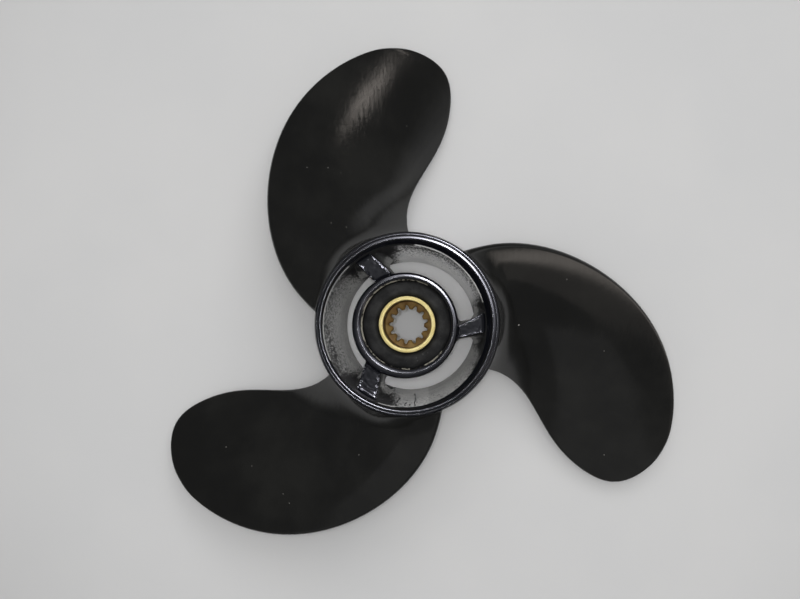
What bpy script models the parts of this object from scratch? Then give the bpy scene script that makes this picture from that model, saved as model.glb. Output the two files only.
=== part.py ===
"""A right-handed three-bladed propeller for a small outboard motor, with its exhaust led out through the hub.

It stands on its aft rim. +Z runs along the shaft's axis towards the bow, and z = 0 is the plane of
the aft rim. Lengths are in metres. Angles are in degrees, counter-clockwise from +X as seen from
the bow end. The barrel, the inner hub, the ribs and the blades are one aluminium casting on the
real propeller. Here each is its own solid, and JOIN_GAP is the seam between two of them.
OVERRUN is how far a cutter runs past what it cuts.
"""

import math

import bmesh
import bpy
import numpy as np
from mathutils import Matrix

BLADE_COUNT = 3
TIP_RADIUS = 0.1323
PITCH = 0.2876
RAKE = 0.134
BLADE_PHASE = 115.0
REFERENCE_DEPTH = 0.0471
BLADE_OUTLINE = [
    # radius, trailing edge and leading edge, as angles from the blade's reference line
    (0.0400, -25.5, 55.5),
    (0.0440, -23.6, 53.0),
    (0.0500, -22.2, 48.8),
    (0.0560, -23.6, 43.6),
    (0.0640, -26.9, 37.8),
    (0.0740, -30.7, 30.8),
    (0.0840, -33.2, 24.0),
    (0.0940, -34.9, 17.2),
    (0.1040, -35.4, 10.2),
    (0.1140, -34.7, 2.4),
    (0.1220, -32.7, -4.9),
    (0.1270, -30.0, -10.2),
    (0.1300, -27.1, -14.8),
    (0.1315, -24.6, -17.5),
]
TIP_ANGLE = -21.0
OUTLINE_DEGREE = 6
ROOT_THICKNESS = 0.0100
TIP_THICKNESS = 0.0030
EDGE_THICKNESS = 0.0020
FORWARD_SHARE = 0.62
ROOT_FILLET = 0.0085
TRAILING_FILLET_SHARE = 0.55
LEADING_FILLET_SHARE = 0.12
ROOT_BLEND = 0.012
ROOT_ROWS = 6
CHORD_STEPS = 14

LENGTH = 0.0950
RIM_RADIUS = 0.0395
AFT_RADIUS = 0.0352
LIP_CREST_RADIUS = 0.0368
LIP_DEPTH = 0.0036
FLARE_HEIGHT = 0.0160
FLARE_RADIUS = 0.0376

PASSAGE_FRONT_RADIUS = 0.0346
PASSAGE_THROAT_RADIUS = 0.0303
PASSAGE_AFT_RADIUS = 0.0332
CORE_SHIFT_X = -0.0010
CORE_SHIFT_Y = -0.0005

HUB_RADIUS = 0.0227
HUB_BORE_RADIUS = 0.0190
HUB_BORE_CHAMFER = 0.0008
HUB_FRONT = LENGTH - 0.0050
HUB_AFT = 0.0260
HUB_EDGE_ROUND = 0.0014

RIB_PHASE = -2.7
RIB_LEAN = 13.5
RIB_PIVOT_RADIUS = 0.0283
RIB_THICKNESS = 0.0056
RIB_DRAFT = 1.45
RIB_FLARE_WALL = 0.0042
RIB_FLARE_HUB = 0.0018
RIB_FRONT = HUB_FRONT - 0.0035
RIB_AFT = 0.0290

SLEEVE_RADIUS = 0.0121
SLEEVE_FRONT = HUB_FRONT + 0.0012
SLEEVE_AFT = 0.0225
COUNTERBORE_RADIUS = 0.0103
COUNTERBORE_DEPTH = 0.0240
SPLINE_COUNT = 13
SPLINE_PHASE = 95.0
SPLINE_MAJOR_RADIUS = 0.0085
SPLINE_MINOR_RADIUS = 0.0065
RUBBER_FRONT = HUB_FRONT - 0.0014
RUBBER_AFT = HUB_AFT + 0.0014
RUBBER_DOME = 0.0008

JOIN_GAP = 0.0003
OVERRUN = 0.0020
MERGE = 0.00001
BARREL_STEPS = 60
HUB_STEPS = 48
RIB_SPACE_STEPS = 64
SLEEVE_STEPS = 4 * SPLINE_COUNT
SMOOTH_ANGLE = math.radians(35)

BLACK_PAINT = (0.012, 0.012, 0.012, 1.0)
RUBBER_BLACK = (0.020, 0.021, 0.023, 1.0)
BRASS = (0.72, 0.52, 0.20, 1.0)


def clear_scene():
    """Empties the scene, whatever it holds."""
    for thing in list(bpy.data.objects):
        bpy.data.objects.remove(thing, do_unlink=True)


def new_collection(name):
    """A collection of the scene with this name."""
    collection = bpy.data.collections.new(name)
    bpy.context.scene.collection.children.link(collection)
    return collection


def new_material(name, color, roughness, metallic):
    """A plain Principled material."""
    material = bpy.data.materials.new(name)
    material.use_nodes = True
    shader = material.node_tree.nodes["Principled BSDF"]
    shader.inputs["Base Color"].default_value = color
    shader.inputs["Roughness"].default_value = roughness
    shader.inputs["Metallic"].default_value = metallic
    return material


def smooth_step(value):
    """0 below 0, 1 above 1, and an even ease between."""
    held = min(max(value, 0.0), 1.0)
    return held * held * (3.0 - 2.0 * held)


def round_piece(mesh):
    """Shades a mesh smooth, apart from its corners."""
    mesh.shade_smooth()
    mesh.set_sharp_from_angle(angle=SMOOTH_ANGLE)


def turned_solid(name, collection, profile, steps, parent=None):
    """A profile of (radius, height) points, top to bottom on its outer side, turned about +Z."""
    mesh = bpy.data.meshes.new(name)
    points = [(radius, 0.0, height) for radius, height in profile]
    closed = profile[0][0] > 0.0
    edges = [(index, index + 1) for index in range(len(points) - 1)]
    if closed:
        edges.append((len(points) - 1, 0))
    mesh.from_pydata(points, edges, [])
    turned = bpy.data.objects.new(name, mesh)
    collection.objects.link(turned)
    turned.parent = parent
    screw = turned.modifiers.new("Turn", "SCREW")
    screw.axis = "Z"
    screw.steps = steps
    screw.render_steps = steps
    screw.use_merge_vertices = True
    screw.merge_threshold = MERGE
    screw.use_smooth_shade = True
    return turned


def extruded_outline(name, collection, outline, low, high):
    """A flat closed outline of (x, y) points, as a solid from height low to height high."""
    curve = bpy.data.curves.new(name + "_outline", "CURVE")
    curve.dimensions = "2D"
    curve.fill_mode = "BOTH"
    curve.extrude = (high - low) / 2
    spline = curve.splines.new("POLY")
    spline.points.add(len(outline) - 1)
    for point, (x, y) in zip(spline.points, outline):
        point.co = (x, y, 0.0, 1.0)
    spline.use_cyclic_u = True
    flat = bpy.data.objects.new(name + "_outline", curve)
    flat.location.z = (low + high) / 2
    collection.objects.link(flat)
    bpy.context.view_layer.update()
    graph = bpy.context.evaluated_depsgraph_get()
    mesh = bpy.data.meshes.new_from_object(flat.evaluated_get(graph))
    mesh.transform(flat.matrix_world)
    bpy.data.objects.remove(flat, do_unlink=True)
    weld(mesh)
    solid = bpy.data.objects.new(name, mesh)
    collection.objects.link(solid)
    return solid


def weld(mesh):
    """Joins a mesh's doubled points and turns its faces outwards."""
    shape = bmesh.new()
    shape.from_mesh(mesh)
    bmesh.ops.remove_doubles(shape, verts=shape.verts, dist=MERGE)
    bmesh.ops.recalc_face_normals(shape, faces=shape.faces)
    shape.to_mesh(mesh)
    shape.free()


def helper(cutter):
    """Marks an object that only shapes others."""
    cutter.hide_render = True
    cutter.display_type = "WIRE"
    return cutter


def combine(target, other, operation):
    """Cuts other from target, or keeps only what both hold."""
    boolean = target.modifiers.new(operation.title(), "BOOLEAN")
    boolean.operation = operation
    boolean.object = other
    boolean.solver = "EXACT"


def finish(piece, material):
    """Gives a piece its material."""
    piece.data.materials.clear()
    piece.data.materials.append(material)


def core_axis(collection):
    """The axis of the casting's sand core, which leans a little away from the machined axis."""
    axis = bpy.data.objects.new("core_axis", None)
    lean_x = -math.atan2(CORE_SHIFT_Y, LENGTH)
    lean_y = math.atan2(CORE_SHIFT_X, LENGTH)
    axis.rotation_euler = (lean_x, lean_y, 0.0)
    collection.objects.link(axis)
    return axis


def barrel_radius(height):
    """The outer radius of the barrel's long taper at a height."""
    low = FLARE_HEIGHT
    high = LENGTH - LIP_DEPTH
    share = min(max((height - low) / (high - low), 0.0), 1.0)
    return AFT_RADIUS + (RIM_RADIUS - AFT_RADIUS) * share


def lip_profile():
    """The machined front lip, from its inner slope over the crest and a fine groove to the barrel's side."""
    crest = LIP_CREST_RADIUS
    return [
        (crest - 0.0042, LENGTH - 0.0060),
        (crest - 0.0026, LENGTH - 0.0036),
        (crest - 0.0013, LENGTH - 0.0014),
        (crest - 0.0006, LENGTH - 0.0003),
        (crest, LENGTH),
        (crest + 0.0005, LENGTH - 0.0003),
        (crest + 0.0008, LENGTH - 0.0007),
        (crest + 0.0012, LENGTH - 0.0004),
        (RIM_RADIUS - 0.0008, LENGTH - 0.0010),
        (RIM_RADIUS - 0.0002, LENGTH - 0.0021),
        (RIM_RADIUS, LENGTH - LIP_DEPTH),
    ]


def flare_profile():
    """The aft end's outward flare, from the taper down to the rim that the propeller stands on."""
    spread = FLARE_RADIUS - AFT_RADIUS
    return [
        (AFT_RADIUS, FLARE_HEIGHT),
        (AFT_RADIUS + 0.22 * spread, 0.55 * FLARE_HEIGHT),
        (AFT_RADIUS + 0.72 * spread, 0.24 * FLARE_HEIGHT),
        (FLARE_RADIUS, 0.0012),
        (FLARE_RADIUS - 0.0006, 0.0),
    ]


def passage_profile(inset):
    """The passage's outer wall as (radius, height), past both ends of the barrel, drawn in by inset."""
    return [
        (PASSAGE_FRONT_RADIUS - inset, 1.1 * LENGTH),
        (PASSAGE_FRONT_RADIUS - inset, LENGTH - LIP_DEPTH),
        (PASSAGE_THROAT_RADIUS - inset, FLARE_HEIGHT),
        (PASSAGE_THROAT_RADIUS + 0.0007 - inset, 0.45 * FLARE_HEIGHT),
        (PASSAGE_AFT_RADIUS - inset, 0.0),
        (PASSAGE_AFT_RADIUS + 0.0005 - inset, -OVERRUN),
    ]


def outer_barrel(parts, cutters, axis, paint):
    """The outer barrel: a tapered tube with the front lip and the aft flare, hollowed by the core."""
    profile = [(0.0, LENGTH - 0.0060)] + lip_profile() + flare_profile() + [(0.0, 0.0)]
    barrel = turned_solid("outer_barrel", parts, profile, BARREL_STEPS)
    wall = passage_profile(0.0)
    core_profile = [(0.0, wall[0][1])] + wall + [(0.0, wall[-1][1])]
    core = helper(turned_solid("passage_core", cutters, core_profile, BARREL_STEPS, axis))
    combine(barrel, core, "DIFFERENCE")
    finish(barrel, paint)
    return barrel


def inner_hub(parts, cutters, axis, paint):
    """The inner hub: its outside follows the core, and its bore is machined true."""
    edge = HUB_EDGE_ROUND
    profile = [
        (0.0, HUB_FRONT),
        (HUB_RADIUS - edge, HUB_FRONT),
        (HUB_RADIUS - 0.3 * edge, HUB_FRONT - 0.3 * edge),
        (HUB_RADIUS, HUB_FRONT - edge),
        (HUB_RADIUS, HUB_AFT + edge),
        (HUB_RADIUS - edge, HUB_AFT),
        (0.0, HUB_AFT),
    ]
    hub = turned_solid("inner_hub", parts, profile, HUB_STEPS, axis)
    mouth = HUB_BORE_RADIUS + HUB_BORE_CHAMFER + OVERRUN
    bore_profile = [
        (0.0, HUB_FRONT + OVERRUN),
        (mouth, HUB_FRONT + OVERRUN),
        (HUB_BORE_RADIUS, HUB_FRONT - HUB_BORE_CHAMFER),
        (HUB_BORE_RADIUS, HUB_AFT + HUB_BORE_CHAMFER),
        (mouth, HUB_AFT - OVERRUN),
        (0.0, HUB_AFT - OVERRUN),
    ]
    bore = helper(turned_solid("hub_bore", cutters, bore_profile, HUB_STEPS))
    combine(hub, bore, "DIFFERENCE")
    finish(hub, paint)
    return hub


def rib_half_width(radius):
    """Half a rib's width at a radius, wider where it runs into the barrel and into the hub."""
    half = RIB_THICKNESS / 2
    for flare, distance in (
        (RIB_FLARE_WALL, PASSAGE_FRONT_RADIUS - radius),
        (RIB_FLARE_HUB, radius - HUB_RADIUS),
    ):
        lack = min(max(1.0 - distance / flare, 0.0), 1.0)
        half += flare * (1.0 - math.sqrt(1.0 - lack * lack))
    return half


def rib_outline():
    """A rib seen from above, along +X from its own middle and past the hub's and barrel's walls."""
    lean = math.radians(RIB_LEAN)
    steps = (0.0, 0.12, 0.32, 0.6, 1.0)
    hub_end = [HUB_RADIUS + RIB_FLARE_HUB * step for step in steps]
    wall_end = [PASSAGE_FRONT_RADIUS - RIB_FLARE_WALL * step for step in reversed(steps)]
    radii = [HUB_RADIUS - 2 * OVERRUN] + hub_end + wall_end + [PASSAGE_FRONT_RADIUS + 2 * OVERRUN]
    sides = []
    for side in (1.0, -1.0):
        points = []
        for radius in radii:
            across = side * rib_half_width(radius)
            from_middle = across - RIB_PIVOT_RADIUS * math.sin(lean)
            along = math.sqrt(radius**2 - from_middle**2) - RIB_PIVOT_RADIUS * math.cos(lean)
            points.append((along, across))
        sides.append(points)
    return sides[0] + sides[1][::-1]


def thicken_aft(mesh):
    """Gives a rib its draft: it is RIB_DRAFT times as thick at its aft end."""
    shape = bmesh.new()
    shape.from_mesh(mesh)
    for vertex in shape.verts:
        if vertex.co.z < (RIB_AFT + RIB_FRONT) / 2:
            vertex.co.y *= RIB_DRAFT
    bmesh.ops.triangulate(shape, faces=shape.faces)
    shape.to_mesh(mesh)
    shape.free()


def ribs(parts, cutters, axis, paint):
    """The ribs that carry the inner hub, each trimmed to the space between hub and barrel."""
    wall = passage_profile(JOIN_GAP)
    hub_side = HUB_RADIUS + JOIN_GAP
    ring_profile = wall + [(hub_side, wall[-1][1]), (hub_side, wall[0][1])]
    ring = helper(turned_solid("rib_space", cutters, ring_profile, RIB_SPACE_STEPS, axis))
    made = []
    for index in range(BLADE_COUNT):
        rib = extruded_outline(f"rib_{index + 1}", parts, rib_outline(), RIB_AFT, RIB_FRONT)
        thicken_aft(rib.data)
        turn = math.radians(RIB_PHASE + 360.0 * index / BLADE_COUNT)
        rib.parent = axis
        rib.location = (RIB_PIVOT_RADIUS * math.cos(turn), RIB_PIVOT_RADIUS * math.sin(turn), 0.0)
        rib.rotation_euler.z = turn + math.radians(RIB_LEAN)
        combine(rib, ring, "INTERSECT")
        finish(rib, paint)
        round_piece(rib.data)
        made.append(rib)
    return made


def rubber_bushing(parts, rubber):
    """The bonded rubber bush between the hub's bore and the sleeve, domed a little at both ends."""
    outer = HUB_BORE_RADIUS - JOIN_GAP
    inner = SLEEVE_RADIUS + JOIN_GAP
    middle = (outer + inner) / 2
    profile = [
        (inner, RUBBER_FRONT - RUBBER_DOME),
        (inner + 0.0009, RUBBER_FRONT - RUBBER_DOME),
        (middle - 0.0008, RUBBER_FRONT - 0.2 * RUBBER_DOME),
        (middle + 0.0008, RUBBER_FRONT),
        (outer - 0.0010, RUBBER_FRONT - 0.6 * RUBBER_DOME),
        (outer, RUBBER_FRONT - 2.0 * RUBBER_DOME),
        (outer, RUBBER_AFT + 2.0 * RUBBER_DOME),
        (middle, RUBBER_AFT),
        (inner, RUBBER_AFT + RUBBER_DOME),
    ]
    bush = turned_solid("rubber_bushing", parts, profile, HUB_STEPS)
    finish(bush, rubber)
    return bush


def spline_outline():
    """The hole that the shaft's spline fills: a notch at each spline, with a rounded bottom."""
    outline = []
    shape = ((-0.34, 0.0), (-0.20, 0.75), (0.0, 1.0), (0.20, 0.75), (0.34, 0.0))
    for index in range(SPLINE_COUNT):
        for place, rise in shape:
            angle = math.radians(SPLINE_PHASE + 360.0 * (index + place) / SPLINE_COUNT)
            radius = SPLINE_MINOR_RADIUS + (SPLINE_MAJOR_RADIUS - SPLINE_MINOR_RADIUS) * rise
            outline.append((radius * math.cos(angle), radius * math.sin(angle)))
    return outline


def splined_sleeve(parts, cutters, brass):
    """The brass sleeve: a counterbore for the thrust washer in front, and the splined bore behind it."""
    chamfer = 0.0006
    seat = SLEEVE_FRONT - COUNTERBORE_DEPTH
    profile = [
        (COUNTERBORE_RADIUS + chamfer / 2, SLEEVE_FRONT),
        (SLEEVE_RADIUS - chamfer, SLEEVE_FRONT),
        (SLEEVE_RADIUS, SLEEVE_FRONT - chamfer),
        (SLEEVE_RADIUS, SLEEVE_AFT + chamfer),
        (SLEEVE_RADIUS - chamfer, SLEEVE_AFT),
        (SPLINE_MINOR_RADIUS - chamfer, SLEEVE_AFT),
        (SPLINE_MINOR_RADIUS - chamfer, seat),
        (COUNTERBORE_RADIUS, seat),
        (COUNTERBORE_RADIUS, SLEEVE_FRONT - chamfer / 2),
    ]
    sleeve = turned_solid("splined_sleeve", parts, profile, SLEEVE_STEPS)
    low = SLEEVE_AFT - chamfer
    high = seat + chamfer
    cutter = extruded_outline("spline_cutter", cutters, spline_outline(), low, high)
    combine(sleeve, helper(cutter), "DIFFERENCE")
    finish(sleeve, brass)
    return sleeve


def tip_reach(radius):
    """1 at the outline's first row and 0 at the tip, as a root, so the round tip becomes a smooth curve."""
    return np.sqrt(np.maximum(TIP_RADIUS - radius, 0.0) / (TIP_RADIUS - BLADE_OUTLINE[0][0]))


def outline_curves():
    """Smooth curves of the outline's middle angle and half width against tip_reach."""
    radius, trailing, leading = np.array(BLADE_OUTLINE).T
    reach = tip_reach(radius)
    middle_angle = (leading + trailing) / 2
    middle = np.polyfit(reach, (middle_angle - TIP_ANGLE) / reach, OUTLINE_DEGREE)
    half = np.polyfit(reach, (leading - trailing) / 2 / reach, OUTLINE_DEGREE)
    return middle, half


def edge_angles(radius, curves):
    """The trailing and the leading edge's angles at a radius."""
    reach = float(tip_reach(radius))
    middle = TIP_ANGLE + reach * np.polyval(curves[0], reach)
    half = reach * np.polyval(curves[1], reach)
    return middle - half, middle + half


def chord_places(edge):
    """Places along a chord of length 1 as (place, roundness), closer at its rounded edges of radius edge."""
    turn = [0.0, 0.13, 0.5, 1.0]
    rounded = [(edge * part, math.sqrt(1.0 - (1.0 - part) ** 2)) for part in turn]
    inner = []
    for step in range(1, CHORD_STEPS):
        inner.append(edge + (1.0 - 2.0 * edge) * (1.0 - math.cos(math.pi * step / CHORD_STEPS)) / 2)
    start = rounded + [(place, 1.0) for place in inner]
    return start + [(1.0 - place, roundness) for place, roundness in reversed(rounded)]


def fillet_share(place):
    """How much of the root fillet a place has, from the trailing edge at 0 to the leading edge at 1."""
    trailing = TRAILING_FILLET_SHARE + (1.0 - TRAILING_FILLET_SHARE) * smooth_step(place / 0.25)
    leading = 1.0 - (1.0 - LEADING_FILLET_SHARE) * smooth_step((place - 0.55) / 0.45)
    return trailing * leading


def blade_station(out, curves):
    """The closed section of a blade at a distance out from the barrel's side.

    It is a ring of (radius, angle in radians, height), along the forward side from the trailing
    edge to the leading edge, and back along the aft side.
    """
    radius = RIM_RADIUS + JOIN_GAP + out
    advance = PITCH / (2.0 * math.pi)
    trailing, leading = edge_angles(radius, curves)
    slant = math.hypot(radius, advance)
    chord = math.radians(leading - trailing) * slant
    left = TIP_RADIUS - radius
    edge = min(EDGE_THICKNESS / 2, 0.45 * chord)
    tip_round = math.sqrt(1.0 - (1.0 - min(left / edge, 1.0)) ** 2) if edge > 0.0 else 0.0
    reach = left / (TIP_RADIUS - RIM_RADIUS)
    thickest = TIP_THICKNESS + (ROOT_THICKNESS - TIP_THICKNESS) * reach**1.3
    lack = min(max(1.0 - out / ROOT_FILLET, 0.0), 1.0)
    fillet = ROOT_FILLET * (1.0 - math.sqrt(1.0 - lack * lack))
    blend = smooth_step(out / ROOT_BLEND)
    ring = []
    places = chord_places(edge / chord)
    back = [(place, roundness, -1.0) for place, roundness in reversed(places[1:-1])]
    for place, roundness, side in [(place, roundness, 1.0) for place, roundness in places] + back:
        fullness = 1.0 - abs(2.0 * place - 1.0) ** 2.4
        thickness = 2.0 * edge + (thickest - 2.0 * edge) * fullness
        share = FORWARD_SHARE if side > 0.0 else 1.0 - FORWARD_SHARE
        ease = fillet_share(place)
        across = side * roundness * (share * thickness * tip_round + fillet * ease)
        toward_edge = math.sqrt(max(1.0 - roundness * roundness, 0.0)) * (1.0 if place > 0.5 else -1.0)
        along = toward_edge * fillet * ease
        angle = math.radians(trailing + (leading - trailing) * place)
        angle += (along * radius - across * advance) / slant / radius
        height = LENGTH - REFERENCE_DEPTH - RAKE * (radius - RIM_RADIUS)
        height += advance * math.radians(trailing + (leading - trailing) * place)
        height += (along * advance + across * radius) / slant
        seated = barrel_radius(height) + JOIN_GAP + out
        ring.append((seated + (radius - seated) * blend, angle, height))
    return ring


def from_axis(radius, angle, height):
    """The point at this distance and angle (in radians) round the shaft's axis."""
    return radius * math.cos(angle), radius * math.sin(angle), height


def blade_distances():
    """How far out from the barrel each section lies: close together at the root fillet and at the tip."""
    root = [ROOT_FILLET * part for part in (0.0, 0.08, 0.25, 0.5, 0.75, 1.0)]
    span = TIP_RADIUS - RIM_RADIUS - JOIN_GAP
    steps = 11
    body = [
        ROOT_FILLET + (span - ROOT_FILLET) * math.sin(math.pi / 2 * step / steps) for step in range(1, steps)
    ]
    edge = EDGE_THICKNESS / 2
    return root + body + [span - 0.5 * edge, span - 0.1 * edge]


def close_root(shape, ring, places):
    """Closes a blade's root along the round side of the barrel, in rows from the forward to the aft side."""
    count = len(ring)
    middle = count // 2
    rows = [[ring[0]] + ring[1:middle] + [ring[middle]]]
    for row in range(1, ROOT_ROWS):
        share = row / ROOT_ROWS
        points = [ring[0]]
        for index in range(1, middle):
            _, front_angle, front_height = places[index]
            _, back_angle, back_height = places[count - index]
            angle = front_angle + (back_angle - front_angle) * share
            height = front_height + (back_height - front_height) * share
            points.append(shape.verts.new(from_axis(barrel_radius(height) + JOIN_GAP, angle, height)))
        rows.append(points + [ring[middle]])
    rows.append([ring[0]] + ring[:middle:-1] + [ring[middle]])
    for upper, lower in zip(rows, rows[1:]):
        for index in range(middle):
            corners = [upper[index], upper[index + 1], lower[index + 1], lower[index]]
            shape.faces.new(list(dict.fromkeys(corners)))


def blade_mesh():
    """One blade at angle 0: a loft through its sections, closed at the root and at the tip."""
    curves = outline_curves()
    shape = bmesh.new()
    rings = []
    for out in blade_distances():
        rings.append([shape.verts.new(from_axis(*place)) for place in blade_station(out, curves)])
    count = len(rings[0])
    for low, high in zip(rings, rings[1:]):
        for index in range(count):
            after = (index + 1) % count
            shape.faces.new((low[index], low[after], high[after], high[index]))
    close_root(shape, rings[0], blade_station(0.0, curves))
    angle = math.radians(TIP_ANGLE)
    height = LENGTH - REFERENCE_DEPTH - RAKE * (TIP_RADIUS - RIM_RADIUS) + PITCH * TIP_ANGLE / 360.0
    tip = shape.verts.new((TIP_RADIUS * math.cos(angle), TIP_RADIUS * math.sin(angle), height))
    for index in range(count):
        shape.faces.new((rings[-1][index], rings[-1][(index + 1) % count], tip))
    bmesh.ops.recalc_face_normals(shape, faces=shape.faces)
    mesh = bpy.data.meshes.new("blade")
    shape.to_mesh(mesh)
    shape.free()
    round_piece(mesh)
    return mesh


def blades(parts, paint):
    """The blades, evenly round the barrel, all of one mesh."""
    mesh = blade_mesh()
    mesh.materials.append(paint)
    for index in range(BLADE_COUNT):
        blade = bpy.data.objects.new(f"blade_{index + 1}", mesh)
        turn = math.radians(BLADE_PHASE + 360.0 * index / BLADE_COUNT)
        blade.matrix_world = Matrix.Rotation(turn, 4, "Z")
        parts.objects.link(blade)


def main():
    """Builds the propeller."""
    clear_scene()
    parts = new_collection("outboard_propeller")
    cutters = new_collection("cutters")
    paint = new_material("black_paint", BLACK_PAINT, 0.35, 0.0)
    rubber = new_material("rubber", RUBBER_BLACK, 0.75, 0.0)
    brass = new_material("brass", BRASS, 0.30, 1.0)
    axis = core_axis(parts)
    outer_barrel(parts, cutters, axis, paint)
    inner_hub(parts, cutters, axis, paint)
    ribs(parts, cutters, axis, paint)
    rubber_bushing(parts, rubber)
    splined_sleeve(parts, cutters, brass)
    blades(parts, paint)


main()
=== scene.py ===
"""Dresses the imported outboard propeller: fine meshes, materials, a pale floor, soft light and the camera.

Lengths are in metres and angles in degrees, counter-clockwise from +X as seen from above. The values under
"Same as the part's source" repeat those of the CAD model, which this script can't read.
"""

from math import cos, exp, hypot, pi, radians, sin, sqrt

import bpy
import numpy as np
from mathutils import Matrix, Vector
from mathutils.bvhtree import BVHTree


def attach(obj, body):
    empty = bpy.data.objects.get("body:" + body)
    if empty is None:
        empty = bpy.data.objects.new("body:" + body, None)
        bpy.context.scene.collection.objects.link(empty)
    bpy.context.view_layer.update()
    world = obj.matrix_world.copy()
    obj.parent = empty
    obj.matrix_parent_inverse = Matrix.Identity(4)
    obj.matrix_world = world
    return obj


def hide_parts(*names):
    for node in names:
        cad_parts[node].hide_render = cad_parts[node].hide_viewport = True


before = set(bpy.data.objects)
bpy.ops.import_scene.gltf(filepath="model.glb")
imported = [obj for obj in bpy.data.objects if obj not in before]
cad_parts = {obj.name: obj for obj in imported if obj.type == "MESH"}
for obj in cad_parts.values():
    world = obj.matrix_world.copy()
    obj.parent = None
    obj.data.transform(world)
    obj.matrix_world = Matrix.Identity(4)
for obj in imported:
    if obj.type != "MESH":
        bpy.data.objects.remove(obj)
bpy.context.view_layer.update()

scene = bpy.context.scene

# Same as the part's source
BLADE_COUNT = 3
TIP_RADIUS = 0.1323
PITCH = 0.2876
RAKE = 0.134
BLADE_PHASE = 115.0
REFERENCE_DEPTH = 0.0471
BLADE_OUTLINE = [
    (0.0400, -25.5, 55.5), (0.0440, -23.6, 53.0), (0.0500, -22.2, 48.8), (0.0560, -23.6, 43.6),
    (0.0640, -26.9, 37.8), (0.0740, -30.7, 30.8), (0.0840, -33.2, 24.0), (0.0940, -34.9, 17.2),
    (0.1040, -35.4, 10.2), (0.1140, -34.7, 2.4), (0.1220, -32.7, -4.9), (0.1270, -30.0, -10.2),
    (0.1300, -27.1, -14.8), (0.1315, -24.6, -17.5),
]
TIP_ANGLE = -21.0
OUTLINE_DEGREE = 6
ROOT_THICKNESS = 0.0100
TIP_THICKNESS = 0.0030
EDGE_THICKNESS = 0.0020
FORWARD_SHARE = 0.62
ROOT_FILLET = 0.0085
TRAILING_FILLET_SHARE = 0.55
LEADING_FILLET_SHARE = 0.12
ROOT_BLEND = 0.012
LENGTH = 0.0950
RIM_RADIUS = 0.0395
AFT_RADIUS = 0.0352
LIP_CREST_RADIUS = 0.0368
LIP_DEPTH = 0.0036
FLARE_HEIGHT = 0.0160
FLARE_RADIUS = 0.0376
PASSAGE_FRONT_RADIUS = 0.0346
PASSAGE_THROAT_RADIUS = 0.0303
PASSAGE_AFT_RADIUS = 0.0332
CORE_SHIFT = (-0.0010, -0.0005)
HUB_RADIUS = 0.0227
HUB_BORE_RADIUS = 0.0190
HUB_FRONT = LENGTH - 0.0050
HUB_AFT = 0.0260
RIB_PHASE = -2.7
RIB_LEAN = 13.5
RIB_PIVOT_RADIUS = 0.0283
RIB_THICKNESS = 0.0056
RIB_DRAFT = 1.45
RIB_FLARE_WALL = 0.0042
RIB_FLARE_HUB = 0.0018
RIB_FRONT = HUB_FRONT - 0.0035
RIB_AFT = 0.0290
SLEEVE_RADIUS = 0.0121
SLEEVE_FRONT = HUB_FRONT + 0.0012
SLEEVE_AFT = 0.0225
COUNTERBORE_RADIUS = 0.0103
COUNTERBORE_DEPTH = 0.0240
SPLINE_COUNT = 13
SPLINE_PHASE = 95.0
SPLINE_MAJOR_RADIUS = 0.0085
SPLINE_MINOR_RADIUS = 0.0065
JOIN_GAP = 0.0003

# The lip's top and its fine groove, measured out from LIP_CREST_RADIUS, and how far the top is off centre
LIP_TOP = 0.0003
LIP_GROOVE = 0.0012
LIP_OFFSET = 0.0003
LIP_OFFSET_ANGLE = 53.0

# The lip's inner slope from its crest: how far out and how far down
LIP_SLOPE = [
    (0.0003, 0.00002), (-0.00005, 0.00008), (-0.0004, 0.00034), (-0.0009, 0.001),
    (-0.0016, 0.0019), (-0.0026, 0.0033), (-0.0042, 0.006),
]

# The groove's inner flank: the share of its width and how far down
LIP_FLANK = [
    (0.0, 0.00002), (0.1, 0.000032), (0.25, 0.000075), (0.42, 0.00014), (0.56, 0.00021),
    (0.7, 0.000315), (0.82, 0.00048), (0.92, 0.00078), (1.0, 0.00122),
]

# The ridge outside the groove, from the crest, and the round edge to the side, from the rim
LIP_RIDGE = [(0.00124, 0.00118), (0.0015, 0.0011), (0.00185, 0.00122), (0.00215, 0.00152)]
LIP_EDGE = [(-0.0003, 0.0021), (-0.00005, 0.0029), (0.0, LIP_DEPTH)]

# Where the lip's slope has been scraped at the wall: from, to (degrees)
SCRAPED = [(16.0, 84.0), (134.0, 205.0), (250.0, 262.0)]

# The front of the ring round the rubber: the share of its width from the bore outwards, and how far down
HUB_PROFILE = [
    (0.0, 0.0024), (0.0, 0.0019), (0.03, 0.0014), (0.09, 0.001), (0.18, 0.00058), (0.28, 0.00031),
    (0.38, 0.0001), (0.43, 0.00001), (0.49, 0.0), (0.56, 0.000025), (0.66, 0.000085), (0.76, 0.0002),
    (0.86, 0.0005), (0.95, 0.0012), (1.0, 0.002), (1.0, 0.0032),
]

# How much each rib's front slopes across its width
RIB_SLANTS = (-0.16, 0.17, -0.15)

# Each rib's front from its middle to its left and right edge, each at the hub and at the wall
RIB_FRONTS = [
    ((0.002, 0.0057), (0.003, 0.0026)),
    ((0.0042, 0.0051), (0.0036, 0.0025)),
    ((0.0031, 0.0052), (0.0044, 0.0042)),
]

# Where the overspray on the passage's wall differs: middle, reach (degrees), amount at the front, depth
SPRAY_PATCHES = [
    (66.0, 40.0, 0.8, 0.018), (62.0, 38.0, 0.46, 0.05), (140.0, 14.0, 0.66, 0.03),
    (-22.0, 16.0, 0.64, 0.026), (-48.0, 12.0, 0.34, 0.06), (-150.0, 14.0, 0.64, 0.03),
    (-78.0, 20.0, 0.34, 0.06),
]

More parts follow.
